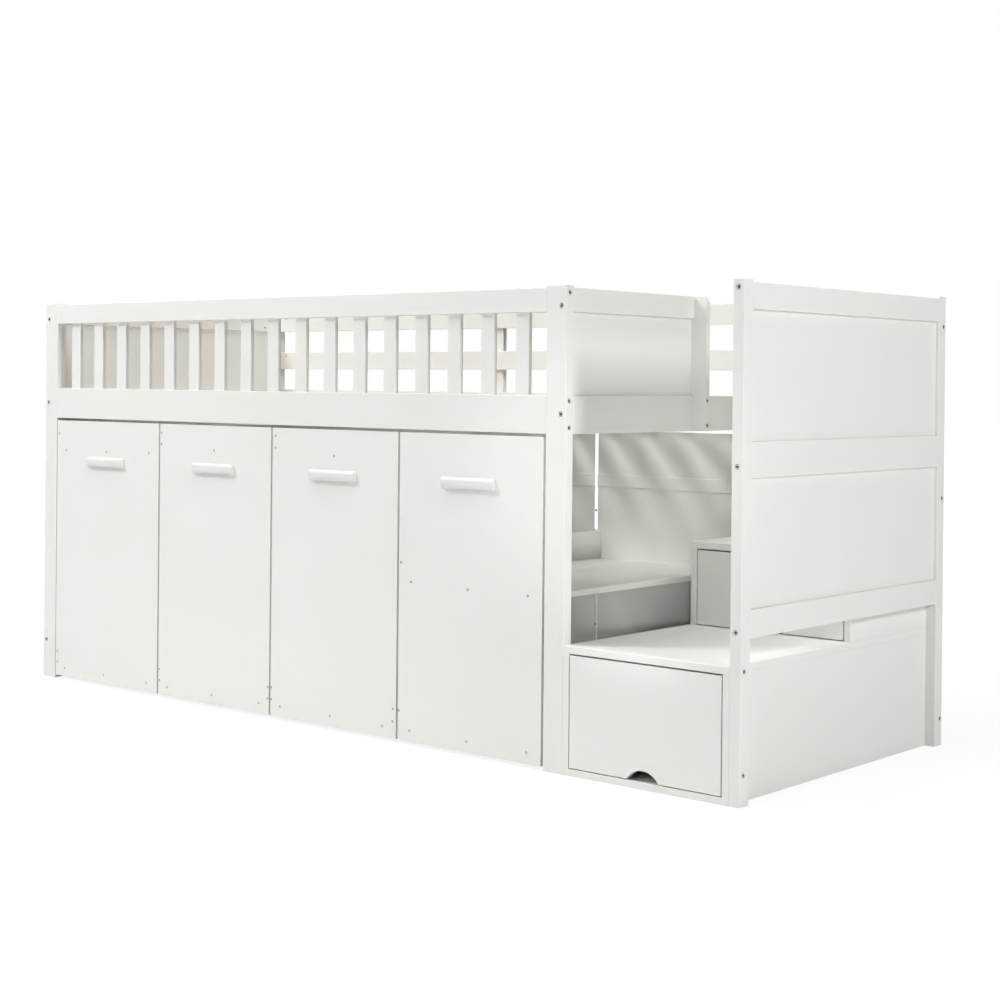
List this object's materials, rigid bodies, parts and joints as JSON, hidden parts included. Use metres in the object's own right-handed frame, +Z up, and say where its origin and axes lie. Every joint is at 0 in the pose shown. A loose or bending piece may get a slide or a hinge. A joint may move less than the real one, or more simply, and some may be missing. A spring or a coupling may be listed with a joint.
{
  "type": "low loft bed with roll-out units and stairs",
  "caption": "White low loft bed with guard rails, a two-step drawer staircase at one end, and a pull-out desk, wardrobes and shelf unit that roll out from under it.",
  "frame": {"origin": "on the floor, under the middle of the bounding box", "axes": "+X along the bed towards the stairs, +Y from the fronts towards the rear, +Z up"},
  "size_m": [2.563, 0.984, 1.166],
  "materials": {
    "white_paint": "off-white satin paint over solid wood and board",
    "handle_plastic": "off-white moulded plastic, semi-gloss",
    "raw_pine": "planed untreated pine",
    "wheel_plastic": "dark grey moulded plastic, matt",
    "bolt_steel": "dark zinc-plated steel, satin"
  },
  "bodies": {
    "bed_frame": {"post_front_left": "white_paint", "post_front_middle": "white_paint", "post_rear_left": "white_paint", "post_rear_middle": "white_paint", "frame_post_front": "white_paint", "frame_post_rear": "white_paint", "front_guard": "white_paint", "front_deck_rail": "white_paint", "rear_guard": "white_paint", "rear_deck_rail": "white_paint", "left_top_rail": "white_paint", "left_deck_rail": "white_paint", "left_low_rail": "white_paint", "left_upper_panel": "white_paint", "left_lower_panel": "white_paint", "inner_top_rail": "white_paint", "inner_end_panel": "white_paint", "inner_deck_rail": "white_paint", "grab_stile": "white_paint", "frame_top_rail": "white_paint", "frame_mid_rail": "white_paint", "frame_low_rail": "white_paint", "frame_upper_panel": "white_paint", "frame_lower_panel": "white_paint", "stair_back_guard": "white_paint", "ledger_front": "raw_pine", "ledger_rear": "raw_pine", "slat_roll": "raw_pine", "lower_step_carcass": "white_paint", "lower_step_tread": "white_paint", "upper_step_carcass": "white_paint", "upper_step_tread": "white_paint"},
    "lower_drawer": {"lower_drawer_front": "white_paint", "lower_drawer_box": "white_paint"},
    "upper_drawer": {"upper_drawer_front": "white_paint", "upper_drawer_box": "white_paint"},
    "desk_unit": {"desk_front": "white_paint", "desk_handle": "handle_plastic", "desk_carcass": "white_paint", "desk_board": "white_paint"},
    "wardrobe_a_unit": {"wardrobe_a_front": "white_paint", "wardrobe_a_handle": "handle_plastic", "wardrobe_a_carcass": "white_paint", "wardrobe_a_rod": "raw_pine"},
    "wardrobe_b_unit": {"wardrobe_b_front": "white_paint", "wardrobe_b_handle": "handle_plastic", "wardrobe_b_carcass": "white_paint", "wardrobe_b_rod": "raw_pine"},
    "shelf_unit": {"shelf_unit_front": "white_paint", "shelf_unit_handle": "handle_plastic", "shelf_unit_carcass": "white_paint", "shelf_unit_board": "white_paint"},
    "desk_front_axle": {"desk_front_wheels": "wheel_plastic"},
    "desk_rear_axle": {"desk_rear_wheels": "wheel_plastic"},
    "wardrobe_a_front_axle": {"wardrobe_a_front_wheels": "wheel_plastic"},
    "wardrobe_a_rear_axle": {"wardrobe_a_rear_wheels": "wheel_plastic"},
    "wardrobe_b_front_axle": {"wardrobe_b_front_wheels": "wheel_plastic"},
    "wardrobe_b_rear_axle": {"wardrobe_b_rear_wheels": "wheel_plastic"},
    "shelf_unit_front_axle": {"shelf_unit_front_wheels": "wheel_plastic"},
    "shelf_unit_rear_axle": {"shelf_unit_rear_wheels": "wheel_plastic"}
  },
  "joints": [
    {"name": "desk_slide", "type": "slide", "parent": "bed_frame", "child": "desk_unit", "axis": [0, -1, 0], "range_m": [0, 0.7]},
    {"name": "wardrobe_a_slide", "type": "slide", "parent": "bed_frame", "child": "wardrobe_a_unit", "axis": [0, -1, 0], "range_m": [0, 0.7]},
    {"name": "wardrobe_b_slide", "type": "slide", "parent": "bed_frame", "child": "wardrobe_b_unit", "axis": [0, -1, 0], "range_m": [0, 0.7]},
    {"name": "shelf_unit_slide", "type": "slide", "parent": "bed_frame", "child": "shelf_unit", "axis": [0, -1, 0], "range_m": [0, 0.7]},
    {"name": "lower_drawer_slide", "type": "slide", "parent": "bed_frame", "child": "lower_drawer", "axis": [0, -1, 0], "range_m": [0, 0.4]},
    {"name": "upper_drawer_slide", "type": "slide", "parent": "bed_frame", "child": "upper_drawer", "axis": [0, -1, 0], "range_m": [0, 0.3]},
    {"name": "desk_front_roll", "type": "hinge", "parent": "desk_unit", "child": "desk_front_axle", "pos_m": [-0.972, -0.397, 0.0125], "axis": [1, 0, 0], "range_deg": [0, 3210]},
    {"name": "desk_rear_roll", "type": "hinge", "parent": "desk_unit", "child": "desk_rear_axle", "pos_m": [-0.972, 0.309, 0.0125], "axis": [1, 0, 0], "range_deg": [0, 3210]},
    {"name": "wardrobe_a_front_roll", "type": "hinge", "parent": "wardrobe_a_unit", "child": "wardrobe_a_front_axle", "pos_m": [-0.48, -0.397, 0.0125], "axis": [1, 0, 0], "range_deg": [0, 3210]},
    {"name": "wardrobe_a_rear_roll", "type": "hinge", "parent": "wardrobe_a_unit", "child": "wardrobe_a_rear_axle", "pos_m": [-0.48, 0.309, 0.0125], "axis": [1, 0, 0], "range_deg": [0, 3210]},
    {"name": "wardrobe_b_front_roll", "type": "hinge", "parent": "wardrobe_b_unit", "child": "wardrobe_b_front_axle", "pos_m": [0.003, -0.397, 0.0125], "axis": [1, 0, 0], "range_deg": [0, 3210]},
    {"name": "wardrobe_b_rear_roll", "type": "hinge", "parent": "wardrobe_b_unit", "child": "wardrobe_b_rear_axle", "pos_m": [0.003, 0.309, 0.0125], "axis": [1, 0, 0], "range_deg": [0, 3210]},
    {"name": "shelf_unit_front_roll", "type": "hinge", "parent": "shelf_unit", "child": "shelf_unit_front_axle", "pos_m": [0.484, -0.397, 0.0125], "axis": [1, 0, 0], "range_deg": [0, 3210]},
    {"name": "shelf_unit_rear_roll", "type": "hinge", "parent": "shelf_unit", "child": "shelf_unit_rear_axle", "pos_m": [0.484, 0.309, 0.0125], "axis": [1, 0, 0], "range_deg": [0, 3210]}
  ],
  "couplings": [
    {"joint": "desk_front_roll", "follows": "desk_slide", "rad_per_m": 80},
    {"joint": "desk_rear_roll", "follows": "desk_slide", "rad_per_m": 80},
    {"joint": "wardrobe_a_front_roll", "follows": "wardrobe_a_slide", "rad_per_m": 80},
    {"joint": "wardrobe_a_rear_roll", "follows": "wardrobe_a_slide", "rad_per_m": 80},
    {"joint": "wardrobe_b_front_roll", "follows": "wardrobe_b_slide", "rad_per_m": 80},
    {"joint": "wardrobe_b_rear_roll", "follows": "wardrobe_b_slide", "rad_per_m": 80},
    {"joint": "shelf_unit_front_roll", "follows": "shelf_unit_slide", "rad_per_m": 80},
    {"joint": "shelf_unit_rear_roll", "follows": "shelf_unit_slide", "rad_per_m": 80}
  ]
}
